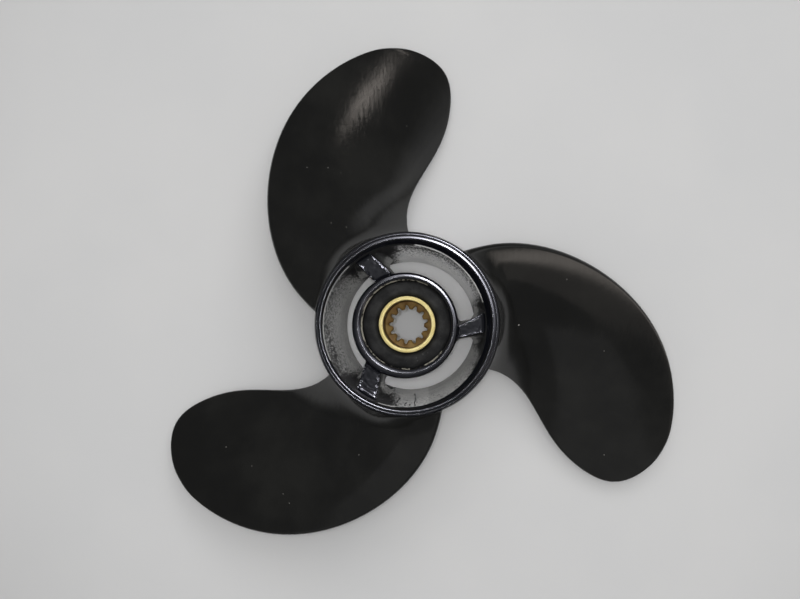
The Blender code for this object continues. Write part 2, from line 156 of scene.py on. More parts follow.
# Runs of paint down the passage's wall: angle, depth of the top, length, width, drift in degrees
PAINT_RUNS = [
    (-84.5, 0.005, 0.05, 0.0016, -1.2), (-98.5, 0.006, 0.032, 0.0015, 0.8),
    (-92.0, 0.008, 0.013, 0.0012, 0.5), (-101.5, 0.006, 0.014, 0.0013, -0.6),
    (-88.5, 0.007, 0.007, 0.00055, 0.3),
]

# A paint run's section, round its back in the wall: the share of half the width and the lift
RUN_SECTION = [
    (-1.0, -0.00008), (-0.55, 0.0001), (0.0, 0.00016), (0.55, 0.0001), (1.0, -0.00008), (0.0, -0.00025),
]

# Where the hub's bore edge has lost its paint: from, to (degrees), how much
BARE_EDGES = [
    (105.0, 200.0, 0.85), (62.0, 105.0, 0.62), (20.0, 62.0, 0.3), (-66.0, -38.0, 1.2),
    (-86.0, -66.0, 0.35), (-97.0, -86.0, 0.75), (-118.0, -97.0, 0.35), (-160.0, -118.0, 0.55),
]

# Specks of grit on the blades: radius, angle, size
SPECKS = [
    (0.0853, 122.9, 0.00036), (0.0807, 117.3, 0.00038), (0.0761, 114.2, 0.00026),
    (0.0939, 91.0, 0.0003), (0.0572, 127.2, 0.00034), (0.052, 122.6, 0.00038), (0.0491, -0.3, 0.0008),
    (0.0894, -7.8, 0.00034), (0.1098, -34.0, 0.0005), (0.073, 15.9, 0.00042),
    (0.1042, -146.7, 0.00048), (0.0987, -138.5, 0.00036), (0.0969, -127.0, 0.00032),
    (0.0984, -124.2, 0.0004), (0.062, -111.1, 0.00038),
]

# How finely the visible meshes are divided
TURNS = 288
CHORD_STEPS = 44
SLOPE_ROWS = 18
WALL_ROWS = 30
RUN_STEPS = 28
EDGE_STEPS = 13
BORE_ROWS = 6

# How far the blades' roots reach into the barrel's side
SINK = 0.00015

# From the hub to the passage's wall at the front
PASSAGE_WIDTH = PASSAGE_FRONT_RADIUS - HUB_RADIUS

# Places across a rib's flat front, as shares of its half width
RIB_FLAT = (0.0, 0.25, 0.5, 0.75)


def smooth_step(value):
    """0 below 0, 1 above 1, and an even ease between. Takes numbers or arrays."""
    held = np.clip(value, 0.0, 1.0)
    return held * held * (3.0 - 2.0 * held)


def smooth_line(points, per_span):
    """A Catmull-Rom line through the points, with this many steps in each span."""
    points = np.array(points, dtype=float)
    padded = np.vstack([2 * points[0] - points[1], points, 2 * points[-1] - points[-2]])
    line = []
    for index in range(len(points) - 1):
        before, start, end, after = padded[index:index + 4]
        for step in range(per_span):
            part = step / per_span
            line.append(0.5 * (2 * start + (end - before) * part
                               + (2 * before - 5 * start + 4 * end - after) * part**2
                               + (3 * start - before - 3 * end + after) * part**3))
    line.append(points[-1])
    return np.array(line)


def show(name, vertices, faces, materials, face_materials=None):
    """A smooth-shaded mesh of the scene, with each face's material number where it has several."""
    mesh = bpy.data.meshes.new(name)
    mesh.from_pydata(np.reshape(vertices, (-1, 3)).tolist(), [], faces)
    for material in materials:
        mesh.materials.append(material)
    if face_materials is not None:
        mesh.polygons.foreach_set("material_index", np.array(face_materials, dtype=np.int32))
    mesh.shade_smooth()
    mesh.update()
    piece = bpy.data.objects.new(name, mesh)
    scene.collection.objects.link(piece)
    return piece


def add_value(piece, name, values):
    """A number at each point of the mesh, which the material reads."""
    layer = piece.data.attributes.new(name, "FLOAT", "POINT")
    layer.data.foreach_set("value", np.asarray(values, dtype=np.float32).ravel())


def grid_faces(rows, columns, close_rows, close_columns, first=0):
    """Quads of a grid of rows by columns, closed round where asked."""
    faces = []
    for row in range(rows if close_rows else rows - 1):
        start = first + row * columns
        after_start = first + (row + 1) % rows * columns
        for column in range(columns if close_columns else columns - 1):
            after = (column + 1) % columns
            faces.append((start + column, start + after, after_start + after, after_start + column))
    return faces


def show_turned(name, grid, materials, finishes=None):
    """A ring-shaped piece from a grid of sections by points, with each column's material number."""
    finishes = None if finishes is None else np.tile(finishes, len(grid))
    return show(name, grid, grid_faces(*np.shape(grid)[:2], True, True), materials, finishes)


def at_angle(profile, angle):
    """The (radius, height) points of a profile, turned to an angle in radians."""
    radius, height = np.asarray(profile).T
    return np.stack([radius * cos(angle), radius * sin(angle), height], axis=-1)


def from_corner(radius, height, points):
    """Profile points, from how far out from a radius and down from a height they are."""
    return [(radius + out, height - down) for out, down in points]


def fillet_rise(size, distance):
    """How far a round fillet of this size stands out at a distance from its corner."""
    lack = min(max(1.0 - distance / size, 0.0), 1.0)
    return size * (1.0 - sqrt(1.0 - lack * lack))


def core_centre(height):
    """Where the leaning core's axis is at a height."""
    return CORE_SHIFT[0] * height / LENGTH, CORE_SHIFT[1] * height / LENGTH


def core_reach(radius, height, angle):
    """How far from the shaft's axis a circle about the core's axis lies, in a direction (radians)."""
    x, y = core_centre(height)
    along = x * np.cos(angle) + y * np.sin(angle)
    aside = -x * np.sin(angle) + y * np.cos(angle)
    return along + np.sqrt(radius**2 - aside**2)


def barrel_radius(height):
    """The outer radius of the barrel's long taper at a height."""
    share = np.clip((height - FLARE_HEIGHT) / (LENGTH - LIP_DEPTH - FLARE_HEIGHT), 0.0, 1.0)
    return AFT_RADIUS + (RIM_RADIUS - AFT_RADIUS) * share


def wall_radius(height):
    """The radius of the passage's outer wall about the core's axis."""
    heights = [0.0, 0.45 * FLARE_HEIGHT, FLARE_HEIGHT, LENGTH - LIP_DEPTH, LENGTH]
    radii = [PASSAGE_AFT_RADIUS, PASSAGE_THROAT_RADIUS + 0.0007, PASSAGE_THROAT_RADIUS,
             PASSAGE_FRONT_RADIUS, PASSAGE_FRONT_RADIUS]
    return np.interp(height, heights, radii)


def rib_angle(index, radius):
    """The angle of a rib's middle line at a radius, in radians."""
    lean = radians(RIB_LEAN)
    start = radians(RIB_PHASE + 360.0 * index / BLADE_COUNT)
    return start + lean - np.arcsin(RIB_PIVOT_RADIUS * sin(lean) / radius)


def from_ribs(angle, radius):
    """The least distance along a circle from an angle in radians to a rib's middle."""
    least = None
    for index in range(BLADE_COUNT):
        turn = (angle - rib_angle(index, radius) + pi) % (2 * pi) - pi
        distance = np.abs(turn) * radius
        least = distance if least is None else np.minimum(least, distance)
    return least


def lip_slope():
    """The lip's inner slope, from the crest inwards and down, as (radius, height) points."""
    return smooth_line(from_corner(LIP_CREST_RADIUS, LENGTH, LIP_SLOPE), 8)


def lip_outside():
    """From the crest over the groove and the outer shoulder to the barrel's side."""
    width = LIP_GROOVE - LIP_TOP
    flank = [(share * width, down) for share, down in LIP_FLANK]
    shoulder = from_corner(LIP_CREST_RADIUS, LENGTH, LIP_RIDGE) + from_corner(RIM_RADIUS, LENGTH, LIP_EDGE)
    top = LIP_CREST_RADIUS + LIP_TOP
    return np.vstack([smooth_line(from_corner(top, LENGTH, flank), 4), smooth_line(shoulder, 5)])


def barrel_outside():
    """From the front of the long taper down to the aft rim."""
    spread = FLARE_RADIUS - AFT_RADIUS
    levels = np.linspace(LENGTH - LIP_DEPTH, FLARE_HEIGHT, 14)[1:-1]
    taper = [(barrel_radius(height), height) for height in levels]
    flare = [(0.0, 1.0), (0.06, 0.75), (0.28, 0.5), (0.68, 0.26)]
    flare = [(AFT_RADIUS + out * spread, up * FLARE_HEIGHT) for out, up in flare]
    rim = [(-0.0002, 0.002), (0.0, 0.0009), (-0.0003, 0.0002), (-0.0009, 0.0)]
    flare += [(FLARE_RADIUS + out, up) for out, up in rim]
    return np.vstack([taper, smooth_line(flare, 4)])


def lip_shift(radii, angle):
    """How far inward the lip's points move: its top is a little off centre, its groove is not."""
    top = LIP_CREST_RADIUS + LIP_TOP
    out = 1.0 - (np.asarray(radii) - top) / (LIP_GROOVE - LIP_TOP)
    inward = 1.0 - (top - np.asarray(radii)) / 0.0026
    share = np.clip(np.minimum(out, inward), 0.0, 1.0)
    return LIP_OFFSET * (1.0 + cos(angle - radians(LIP_OFFSET_ANGLE))) * share


def within(degrees, first, last):
    """Whether angles in degrees lie between two others, counter-clockwise."""
    return (degrees - first) % 360.0 <= (last - first) % 360.0


def slope_join(slope, angle, margin):
    """The step of the lip's slope that is this far outside the passage's wall in a direction."""
    gap = slope[:, 0] - core_reach(wall_radius(slope[:, 1]), slope[:, 1], angle) - margin
    meet = int(np.argmax(gap < 0.0))
    return meet - 1 + gap[meet - 1] / (gap[meet - 1] - gap[meet])


def wall_overspray_and_painted_light(angle, heights):
    """How much black overspray reaches the passage's wall: most at the front and beside the ribs, fading
    with depth, which also paints in light thrown up from the floor deep down.
    """
    depth = np.maximum(LENGTH - LIP_DEPTH - heights, 0.0)
    distance = from_ribs(angle, PASSAGE_FRONT_RADIUS) - RIB_THICKNESS / 2
    usual = 0.56
    # Partly painted light: the overspray thins with depth, and the paler wall deep down also stands in for
    # light thrown up from the floor.
    overspray_and_painted_light = usual * np.exp(-(depth / 0.055) ** 1.8)
    degrees = np.degrees(angle) % 360.0
    for middle, reach, front, fall in SPRAY_PATCHES:
        away = np.abs((degrees - middle + 180.0) % 360.0 - 180.0)
        overspray_and_painted_light += smooth_step(1.5 - away / reach) * (front - usual) * np.exp(-depth / fall)
    return overspray_and_painted_light + 1.15 * np.clip(1.0 - distance / 0.0115, 0.0, 1.0) ** 1.15


def barrel_section(slope, outside, angle):
    """The barrel's closed section in a direction: lip's slope, outside, then up the passage's wall."""
    steps = np.arange(len(slope))
    places = np.linspace(slope_join(slope, angle, 0.0003), 0.0, SLOPE_ROWS)
    heights = np.interp(places, steps, slope[:, 1])
    lip = np.vstack([np.column_stack([np.interp(places, steps, slope[:, 0]), heights]), outside[1:]])
    lip[:, 0] -= lip_shift(lip[:, 0], angle)
    levels = np.concatenate([[0.0, 0.0004], np.linspace(0.0016, heights[0] - 0.0005, WALL_ROWS)])
    walls = core_reach(wall_radius(levels), levels, angle)
    walls[0] += 0.0005
    return at_angle(np.vstack([lip, np.column_stack([walls, levels])]), angle)


def barrel(paint, wall_finish):
    """The outer barrel: lip, tapered side and flare about the shaft's axis, rough wall about the core's."""
    angles = np.arange(TURNS) * 2 * pi / TURNS
    slope = lip_slope()
    outside = np.vstack([lip_outside(), barrel_outside()])
    grid = np.array([barrel_section(slope, outside, angle) for angle in angles])
    on_wall = np.arange(grid.shape[1]) > SLOPE_ROWS + len(outside) - 1
    piece = show_turned("barrel_casting", grid, [paint, wall_finish], on_wall)
    piece.data.set_sharp_from_angle(angle=radians(40))
    overspray_and_painted_light = wall_overspray_and_painted_light(np.arctan2(grid[..., 1], grid[..., 0]), grid[..., 2])
    degrees = np.degrees(angles)
    scraped = np.any([within(degrees, first, last) for first, last in SCRAPED], axis=0)
    overspray_and_painted_light[:, 0] = np.where(scraped, 0.36, 1.4)
    overspray_and_painted_light[scraped, -1] = 0.1
    add_value(piece, "overspray_and_painted_light", overspray_and_painted_light)
    # Painted light: the passage's wall is painted paler round 62 degrees, and a little paler from 250 to 285
    # degrees, in place of light that the lamps don't bring there.
    painted_lit_wall = smooth_step((52.0 - np.abs(degrees - 62.0)) / 22.0) + 0.25 * within(degrees, 250.0, 285.0)
    add_value(piece, "wear_and_painted_light", np.where(on_wall, painted_lit_wall[:, None], 0.0))
    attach(piece, "root")
    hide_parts("outer_barrel")
    return piece


def paint_runs(paint):
    """Thin runs of black paint down the passage's wall, each ending in a bead."""
    count = len(RUN_SECTION)
    last = (RUN_STEPS - 1) * count
    vertices = []
    faces = []
    for degrees, top, length, width, drift in PAINT_RUNS:
        first = len(vertices)
        for step in range(RUN_STEPS):
            share = step / (RUN_STEPS - 1)
            height = LENGTH - top - length * share
            wiggle = drift * share + 0.35 * sin(7.0 * share + degrees) + 0.18 * sin(17.0 * share)
            angle = radians(degrees + wiggle)
            bead = 0.45 * smooth_step((share - 0.75) / 0.2)
            swell = 0.55 + bead + 0.2 * sin(9.0 * share + degrees)
            half = width / 2 * swell * (1.0 if share < 0.97 else 0.4)
            wall = core_reach(wall_radius(height), height, angle)
            for across, lift in RUN_SECTION:
                vertices.extend(at_angle([(wall - lift, height)], angle + across * half / wall))
        faces += grid_faces(RUN_STEPS, count, False, True, first)
        faces.append(tuple(range(first + count - 1, first - 1, -1)))
        faces.append(tuple(range(first + last, first + last + count)))
    piece = show("paint_runs", vertices, faces, [paint])
    add_value(piece, "wear_and_painted_light", np.zeros(len(vertices)))
    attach(piece, "root")
    return piece


def bare_edge(degrees):
    """How worn the hub's bore edge is at angles in degrees."""
    worn = np.full(len(degrees), 0.12)
    for first, last, amount in BARE_EDGES:
        worn = np.where(within(degrees, first, last), amount, worn)
    return (np.roll(worn, 1) + worn + np.roll(worn, -1)) / 3.0


def hub_section(profile, angle):
    """The hub ring's section in a direction: its outside follows the core's axis, its bore is off centre."""
    shares, heights = profile.T
    outer = core_reach(HUB_RADIUS, heights, angle)
    lip = 0.00025 - 0.0004 * cos(angle - radians(170.0))
    bore = HUB_BORE_RADIUS - lip * smooth_step((heights - HUB_FRONT + 0.002) / 0.0004)
    return at_angle(np.stack([bore + (outer - bore) * shares, heights], axis=-1), angle)


def inner_hub(paint):
    """The ring round the rubber, with a bare edge where its paint has worn off."""
    front = smooth_line(from_corner(0.0, HUB_FRONT, HUB_PROFILE), 4)
    rest = [(1.0, height) for height in np.linspace(HUB_FRONT - 0.006, HUB_AFT + 0.0022, 10)]
    rest += [(0.94, HUB_AFT + 0.0008), (0.78, HUB_AFT), (0.2, HUB_AFT), (0.0, HUB_AFT + 0.0008)]
    rest += [(0.0, height) for height in np.linspace(HUB_AFT + 0.004, HUB_FRONT - 0.004, 6)]
    profile = np.vstack([front, rest])
    degrees = np.arange(TURNS) * 360.0 / TURNS
    grid = [hub_section(profile, angle) for angle in np.radians(degrees)]
    piece = show_turned("hub_casting", grid, [paint])
    amount = bare_edge(degrees)[:, None]
    shares, heights = profile.T
    band = smooth_step(1.3 - np.abs(shares - 0.06) / (0.04 + 0.09 * np.clip(amount, 0.0, 1.2)))
    add_value(piece, "wear_and_painted_light", amount * band * (heights > HUB_FRONT - 0.0017))
    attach(piece, "root")
    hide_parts("inner_hub")
    return piece


def rib_widths(index, side, radius):
    """From a rib's middle to one side at a radius: deep down, where it flares, and at its front."""
    deep = RIB_THICKNESS / 2 + fillet_rise(RIB_FLARE_WALL, PASSAGE_FRONT_RADIUS - radius)
    deep += fillet_rise(RIB_FLARE_HUB, radius - HUB_RADIUS)
    share = (radius - HUB_RADIUS) / PASSAGE_WIDTH
    at_hub, at_wall = RIB_FRONTS[index][side]
    return deep, at_hub + (at_wall - at_hub) * max(share, 0.0)


def rib_half_section(index, side, radius):
    """Half of a rib's section at a radius, from its front middle to its aft middle."""
    deep, front = rib_widths(index, side, radius)
    edge = 0.0007
    drop = 0.0009
    flat = front - edge
    arc = [radians(angle) for angle in np.linspace(0.0, 90.0, EDGE_STEPS)]
    section = [(flat * part, RIB_FRONT) for part in RIB_FLAT]
    section += [(flat + edge * sin(turn), RIB_FRONT - drop * (1.0 - cos(turn))) for turn in arc]
    length = RIB_FRONT - drop - RIB_AFT - drop
    for share in (0.012, 0.028, 0.05, 0.08, 0.12, 0.17, 0.24, 0.33, 0.45, 0.6, 0.78, 1.0):
        depth = share * length
        swell = 1.0 + (RIB_DRAFT - 1.0) * depth / (RIB_FRONT - RIB_AFT)
        across = deep * swell + (front - deep) * exp(-depth / 0.0045)
        section.append((across, RIB_FRONT - drop - depth))
    corner = [(1.0 - cos(turn), 1.0 - sin(turn)) for turn in arc[3::3]]
    section += [(across - drop * inward, RIB_AFT + drop * up) for inward, up in corner]
    return section + [(across * 0.5, RIB_AFT), (0.0, RIB_AFT)]


def rib_radii():
    """The radii of a rib's sections, closer together in its flares."""
    hub_end = HUB_RADIUS + RIB_FLARE_HUB
    wall_start = PASSAGE_FRONT_RADIUS - RIB_FLARE_WALL
    radii = [HUB_RADIUS - 0.0012] + list(HUB_RADIUS + RIB_FLARE_HUB * np.linspace(0, 1, 9) ** 1.6)
    radii += list(np.linspace(hub_end, wall_start, 12)[1:])
    radii += list(PASSAGE_FRONT_RADIUS - RIB_FLARE_WALL * np.linspace(1, 0, 18)[1:] ** 1.6)
    return radii + [PASSAGE_FRONT_RADIUS + 0.0008]


def rib_row(index, radius, rough):
    """A rib's closed section at a radius, uneven on its front and with a fillet at both ends."""
    lean = radians(RIB_LEAN)
    turn = radians(RIB_PHASE + 360.0 * index / BLADE_COUNT)
    ahead = (cos(turn + lean), sin(turn + lean))
    wall_rise = fillet_rise(0.002, PASSAGE_FRONT_RADIUS - radius)
    hub_rise = fillet_rise(0.0013, radius - HUB_RADIUS)
    section = rib_half_section(index, 0, radius)
    other = rib_half_section(index, 1, radius)
    widths = [RIB_FRONTS[index][0][1]] * len(section) + [RIB_FRONTS[index][1][1]] * (len(other) - 2)
    section += [(-across, height) for across, height in other[-2:0:-1]]
    slant = RIB_SLANTS[index]
    outward = smooth_step((radius - HUB_RADIUS) / PASSAGE_WIDTH)
    row = []
    for (across, height), width in zip(section, widths):
        grain = 0.00006 if height > RIB_FRONT - 0.00001 else 0.0002
        height += grain * rough.standard_normal() * (height > RIB_FRONT - 0.0025)
        height += hub_rise
        height += wall_rise * (1.0 - 0.8 * smooth_step((abs(across) / width - 0.7) / 0.3))
        height -= slant * across * smooth_step((height - RIB_AFT) / 0.02)
        height -= abs(slant) * 0.003 * smooth_step((height - RIB_AFT) / 0.02)
        from_middle = across - RIB_PIVOT_RADIUS * sin(lean)
        along = sqrt(radius**2 - from_middle**2) - RIB_PIVOT_RADIUS * cos(lean)
        along += (wall_radius(height) - PASSAGE_FRONT_RADIUS) * outward
        across += 0.00005 * rough.standard_normal() * (height > RIB_FRONT - 0.0035)
        x, y = core_centre(height)
        row.append((
            RIB_PIVOT_RADIUS * cos(turn) + along * ahead[0] - across * ahead[1] + x,
            RIB_PIVOT_RADIUS * sin(turn) + along * ahead[1] + across * ahead[0] + y,
            height,
        ))
    return row


def rib(index, paint, side_finish):
    """One rib: a gloss front with round edges, and rough sides that widen aft, black near the front."""
    rough = np.random.RandomState(index + 3)
    grid = np.array([rib_row(index, radius, rough) for radius in rib_radii()])
    rows, count = grid.shape[:2]
    top = len(RIB_FLAT) + EDGE_STEPS - 1
    faces = [face[::-1] for face in grid_faces(rows, count, False, True)]
    on_side = [top <= number % count < count - top for number in range(len(faces))] + [True, True]
    faces.append(tuple(range(count)))
    faces.append(tuple(range(rows * count - 1, (rows - 1) * count - 1, -1)))
    piece = show(f"rib_casting_{index + 1}", grid, faces, [paint, side_finish], on_side)
    below = np.maximum(RIB_FRONT - grid[..., 2], 0.0)
    add_value(piece, "overspray_and_painted_light", 0.3 + 0.85 * (1.0 - smooth_step((below - 0.016) / 0.026)))
    add_value(piece, "wear_and_painted_light", np.zeros(rows * count))
    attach(piece, "root")
    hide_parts(f"rib_{index + 1}")
    return piece


def tip_reach(radius):
    """1 at the outline's first row and 0 at the tip, as a root, so the round tip becomes a smooth curve."""
    return np.sqrt(np.maximum(TIP_RADIUS - radius, 0.0) / (TIP_RADIUS - BLADE_OUTLINE[0][0]))


def outline_curves():
    """Smooth curves of the outline's middle angle and half width against tip_reach."""
    radius, trailing, leading = np.array(BLADE_OUTLINE).T
    reach = tip_reach(radius)
    middle = np.polyfit(reach, ((leading + trailing) / 2 - TIP_ANGLE) / reach, OUTLINE_DEGREE)
    half = np.polyfit(reach, (leading - trailing) / 2 / reach, OUTLINE_DEGREE)
    return middle, half


def chord_places(edge):
    """Places along a chord of length 1 and their roundness, closer at its round edges."""
    turn = 1.0 - np.cos(np.radians([0.0, 14.0, 28.0, 43.0, 58.0, 74.0, 90.0]))
    rounded = edge * turn
    roundness = np.sqrt(1.0 - (1.0 - turn) ** 2)
    steps = np.arange(1, CHORD_STEPS) / CHORD_STEPS
    inner = edge + (1.0 - 2.0 * edge) * (0.5 * steps + 0.25 * (1.0 - np.cos(pi * steps)))
    places = np.concatenate([rounded, inner, 1.0 - rounded[::-1]])
    return places, np.concatenate([roundness, np.ones(len(inner)), roundness[::-1]])


def blade_ring(out, curves):
    """A blade's closed section at a distance out, and how near each point is to an edge."""
    radius = RIM_RADIUS + JOIN_GAP + out
    advance = PITCH / (2.0 * pi)
    reach = tip_reach(radius)
    middle = TIP_ANGLE + reach * np.polyval(curves[0], reach)
    half = reach * np.polyval(curves[1], reach)
    trailing, leading = middle - half, middle + half
    slant = hypot(radius, advance)
    chord = radians(leading - trailing) * slant
    left = TIP_RADIUS - radius
    edge = min(EDGE_THICKNESS / 2, 0.45 * chord)
    tip_round = sqrt(max(1.0 - (1.0 - min(left / edge, 1.0)) ** 2, 0.0)) if edge > 0.0 else 0.0
    thickest = TIP_THICKNESS + (ROOT_THICKNESS - TIP_THICKNESS) * (left / (TIP_RADIUS - RIM_RADIUS)) ** 1.3
    fillet = fillet_rise(ROOT_FILLET, out)
    places, roundness = chord_places(edge / chord)
    sides = np.concatenate([np.ones(len(places)), -np.ones(len(places) - 2)])
    places = np.concatenate([places, places[-2:0:-1]])
    roundness = np.concatenate([roundness, roundness[-2:0:-1]])
    fullness = 1.0 - np.abs(2.0 * places - 1.0) ** 2.4
    thickness = 2.0 * edge + (thickest - 2.0 * edge) * fullness
    share = np.where(sides > 0.0, FORWARD_SHARE, 1.0 - FORWARD_SHARE)
    ease = TRAILING_FILLET_SHARE + (1.0 - TRAILING_FILLET_SHARE) * smooth_step(places / 0.25)
    ease = ease * (1.0 - (1.0 - LEADING_FILLET_SHARE) * smooth_step((places - 0.55) / 0.45))
    across = sides * roundness * (share * thickness * tip_round + fillet * ease)
    toward_edge = np.sqrt(np.maximum(1.0 - roundness**2, 0.0)) * np.where(places > 0.5, 1.0, -1.0)
    along = toward_edge * fillet * ease
    flat = np.radians(trailing + (leading - trailing) * places)
    angle = flat + (along * radius - across * advance) / slant / radius
    height = LENGTH - REFERENCE_DEPTH - RAKE * (radius - RIM_RADIUS) + advance * flat
    height = height + (along * advance + across * radius) / slant
    gap = JOIN_GAP - (JOIN_GAP + SINK) * (1.0 - smooth_step(out / 0.004))
    seated = barrel_radius(height) + gap + out
    reached = seated + (radius - seated) * smooth_step(out / ROOT_BLEND)
    near = np.minimum(np.minimum(places, 1.0 - places) * chord, left) / 0.0016
    points = np.stack([reached * np.cos(angle), reached * np.sin(angle), height], axis=-1)
    return points, np.clip(1.0 - near, 0.0, 1.0)


def blade_distances():
    """How far out each section lies: close together in the root fillet and at the tip."""
    fillet = [ROOT_FILLET * (1.0 - cos(radians(angle))) for angle in np.linspace(0.0, 90.0, 16)]
    span = TIP_RADIUS - RIM_RADIUS - JOIN_GAP
    edge = EDGE_THICKNESS / 2
    straight = span - edge - ROOT_FILLET
    body = [ROOT_FILLET + straight * sin(pi / 2 * step / 44) for step in range(1, 44)]
    tip = [span - edge * (1.0 - sin(radians(angle))) for angle in (0, 20, 40, 58, 72, 83)]
    return fillet + body + tip


def blade(index, paint):
    """One blade: a fine loft, its root sunk a little into the barrel's side."""
    curves = outline_curves()
    rings, edges = zip(*[blade_ring(out, curves) for out in blade_distances()])
    count = len(rings[0])
    tip_angle = radians(TIP_ANGLE)
    tip_height = LENGTH - REFERENCE_DEPTH - RAKE * (TIP_RADIUS - RIM_RADIUS) + PITCH * TIP_ANGLE / 360.0
    vertices = np.vstack(rings + (at_angle([(TIP_RADIUS, tip_height)], tip_angle),))
    faces = grid_faces(len(rings), count, False, True)
    last = (len(rings) - 1) * count
    faces += [(last + place, last + (place + 1) % count, len(vertices) - 1) for place in range(count)]
    for place in range(count // 2):
        corners = (place, (count - place) % count, count - place - 1, place + 1)
        faces.append(tuple(dict.fromkeys(corners)))
    faces = [face[::-1] for face in faces]
    spin = np.array(Matrix.Rotation(radians(BLADE_PHASE + 360.0 * index / BLADE_COUNT), 3, "Z"))
    piece = show(f"blade_casting_{index + 1}", vertices @ spin.T, faces, [paint])
    # Painted highlight: how near each point is to an edge, where the satin paint is drawn lighter.
    add_value(piece, "wear_and_painted_light", np.concatenate(edges + ([1.0],)))
    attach(piece, "root")
    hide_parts(f"blade_{index + 1}")
    return piece


def specks(blades, finish):
    """Specks of grit, each an uneven little dome on a blade."""
    trees = []
    for mesh in [blade.data for blade in blades]:
        places = [point.co for point in mesh.vertices]
        trees.append(BVHTree.FromPolygons(places, [face.vertices for face in mesh.polygons]))
    down = Vector((0.0, 0.0, -1.0))
    rough = np.random.RandomState(11)
    sides = 7
    vertices = []
    faces = []
    for radius, degrees, size in SPECKS:
        start = Vector(at_angle([(radius, 2 * LENGTH)], radians(degrees))[0])
        hits = [tree.ray_cast(start, down) for tree in trees]
        spot, normal = max((hit[0].z, index, hit) for index, hit in enumerate(hits) if hit[0])[2][:2]
        side = normal.orthogonal().normalized()
        up = normal.cross(side)
        first = len(vertices)
        for level, reach in ((-0.12, 0.5), (0.12, 0.42)):
            for corner in range(sides):
                around = 2 * pi * corner / sides
                out = size * reach * (0.8 + 0.4 * rough.random_sample())
                place = spot + side * out * cos(around) + up * out * sin(around)
                vertices.append(place + normal * size * level)
        foot = len(vertices)
        vertices += [spot - normal * size * 0.15, spot + normal * size * 0.24]
        for low, after in [(first + corner, first + (corner + 1) % sides) for corner in range(sides)]:
            faces.append((low, after, after + sides, low + sides))
            faces += [(foot, after, low), (foot + 1, low + sides, after + sides)]
    piece = show("blade_grit", vertices, faces, [finish])
    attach(piece, "root")
    return piece


def turned(name, profile, materials, replaced):
    """A closed profile of (radius, height) points, turned finely about the shaft's axis."""
    grid = [at_angle(profile, angle) for angle in np.arange(TURNS) * 2 * pi / TURNS]
    piece = show_turned(name, grid, materials)
    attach(piece, "root")
    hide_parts(replaced)
    return piece


def rubber_bush(rubber):
    """The rubber bush: softly domed, with a small step down at both sides."""
    outer = HUB_BORE_RADIUS - 0.0001
    inner = SLEEVE_RADIUS + 0.00005
    front = HUB_FRONT - 0.0014
    dome = from_corner(inner, front, [
        (0.0, 0.003), (0.0003, 0.002), (0.0008, 0.00085), (0.0015, 0.00022),
        (0.0023, 0.0), (0.0036, 0.00025), (0.0052, 0.001),
    ])
    dome += from_corner(outer, front, [(-0.0005, 0.002), (0.0, 0.003)])
    side = [(outer, height) for height in np.linspace(front - 0.006, HUB_AFT + 0.004, 5)]
    aft = [(outer, HUB_AFT + 0.0028), (outer - 0.001, HUB_AFT + 0.0018)]
    aft += [((outer + inner) / 2, HUB_AFT + 0.0014)]
    aft += [(inner + 0.001, HUB_AFT + 0.0018), (inner, HUB_AFT + 0.0028)]
    core = [(inner, height) for height in np.linspace(HUB_AFT + 0.006, front - 0.005, 5)]
    profile = np.vstack([smooth_line(dome, 5), side, smooth_line(aft, 4), core])
    return turned("rubber_bush", profile, [rubber], "rubber_bushing")


def spline_radius(angle):
    """The radius of the splined hole in a direction: a narrow round-bottomed notch at each spline."""
    place = (angle - SPLINE_PHASE) / (360.0 / SPLINE_COUNT)
    place = abs(place - round(place))
    shape = np.interp(place, [0.0, 0.05, 0.11, 0.17, 0.22, 0.27, 0.31, 0.5],
                      [1.0, 0.97, 0.86, 0.62, 0.36, 0.12, 0.02, 0.0])
    tooth = SPLINE_MINOR_RADIUS + 0.00035
    return tooth + (SPLINE_MAJOR_RADIUS + 0.0001 - tooth) * shape


def sleeve_bore(tooth):
    """The sleeve's bore and counterbore in a direction, from its aft end upwards."""
    seat = SLEEVE_FRONT - COUNTERBORE_DEPTH
    line = [(tooth + 0.0003, SLEEVE_AFT)]
    line += [(tooth, height) for height in np.linspace(SLEEVE_AFT + 0.0004, seat - 0.0014, BORE_ROWS)]
    line += [(tooth + 0.0002, seat - 0.001), (0.6 * tooth + 0.4 * COUNTERBORE_RADIUS, seat - 0.0004)]
    line.append((COUNTERBORE_RADIUS - 0.0002, seat))
    well = np.linspace(seat + 0.0006, SLEEVE_FRONT - 0.003, 8)
    return line + [(COUNTERBORE_RADIUS, height) for height in well]


def sleeve(face_brass, dull_brass, bore_brass):
    """The brass sleeve: bright front ring, counterbore, sloped seat and splined bore."""
    steps = SPLINE_COUNT * 24
    bevel = 0.00025
    front = from_corner(COUNTERBORE_RADIUS, SLEEVE_FRONT, [
        (0.0, 0.00035), (0.00004, 0.00015), (0.00012, 0.00004), (0.00025, 0.0),
    ])
    front += from_corner(SLEEVE_RADIUS, SLEEVE_FRONT, [
        (-2 * bevel, 0.0), (-0.6 * bevel, 0.3 * bevel), (0.0, 1.6 * bevel),
    ])
    side = [(SLEEVE_RADIUS, height) for height in np.linspace(SLEEVE_FRONT - 0.004, SLEEVE_AFT + bevel, 6)]
    aft = [(SLEEVE_RADIUS - bevel, SLEEVE_AFT), (SPLINE_MAJOR_RADIUS + 0.0008, SLEEVE_AFT)]
    profile = front + side + aft
    grid = []
    for degrees in [360.0 * step / steps for step in range(steps)]:
        grid.append(at_angle(profile + sleeve_bore(spline_radius(degrees)), radians(degrees)))
    finishes = np.ones(len(grid[0]), dtype=int)
    finishes[:len(front) + 1] = 0
    finishes[len(profile):len(profile) + BORE_ROWS] = 2
    piece = show_turned("brass_sleeve", grid, [face_brass, dull_brass, bore_brass], finishes)
    piece.data.set_sharp_from_angle(angle=radians(38))
    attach(piece, "root")
    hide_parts("splined_sleeve")
    return piece


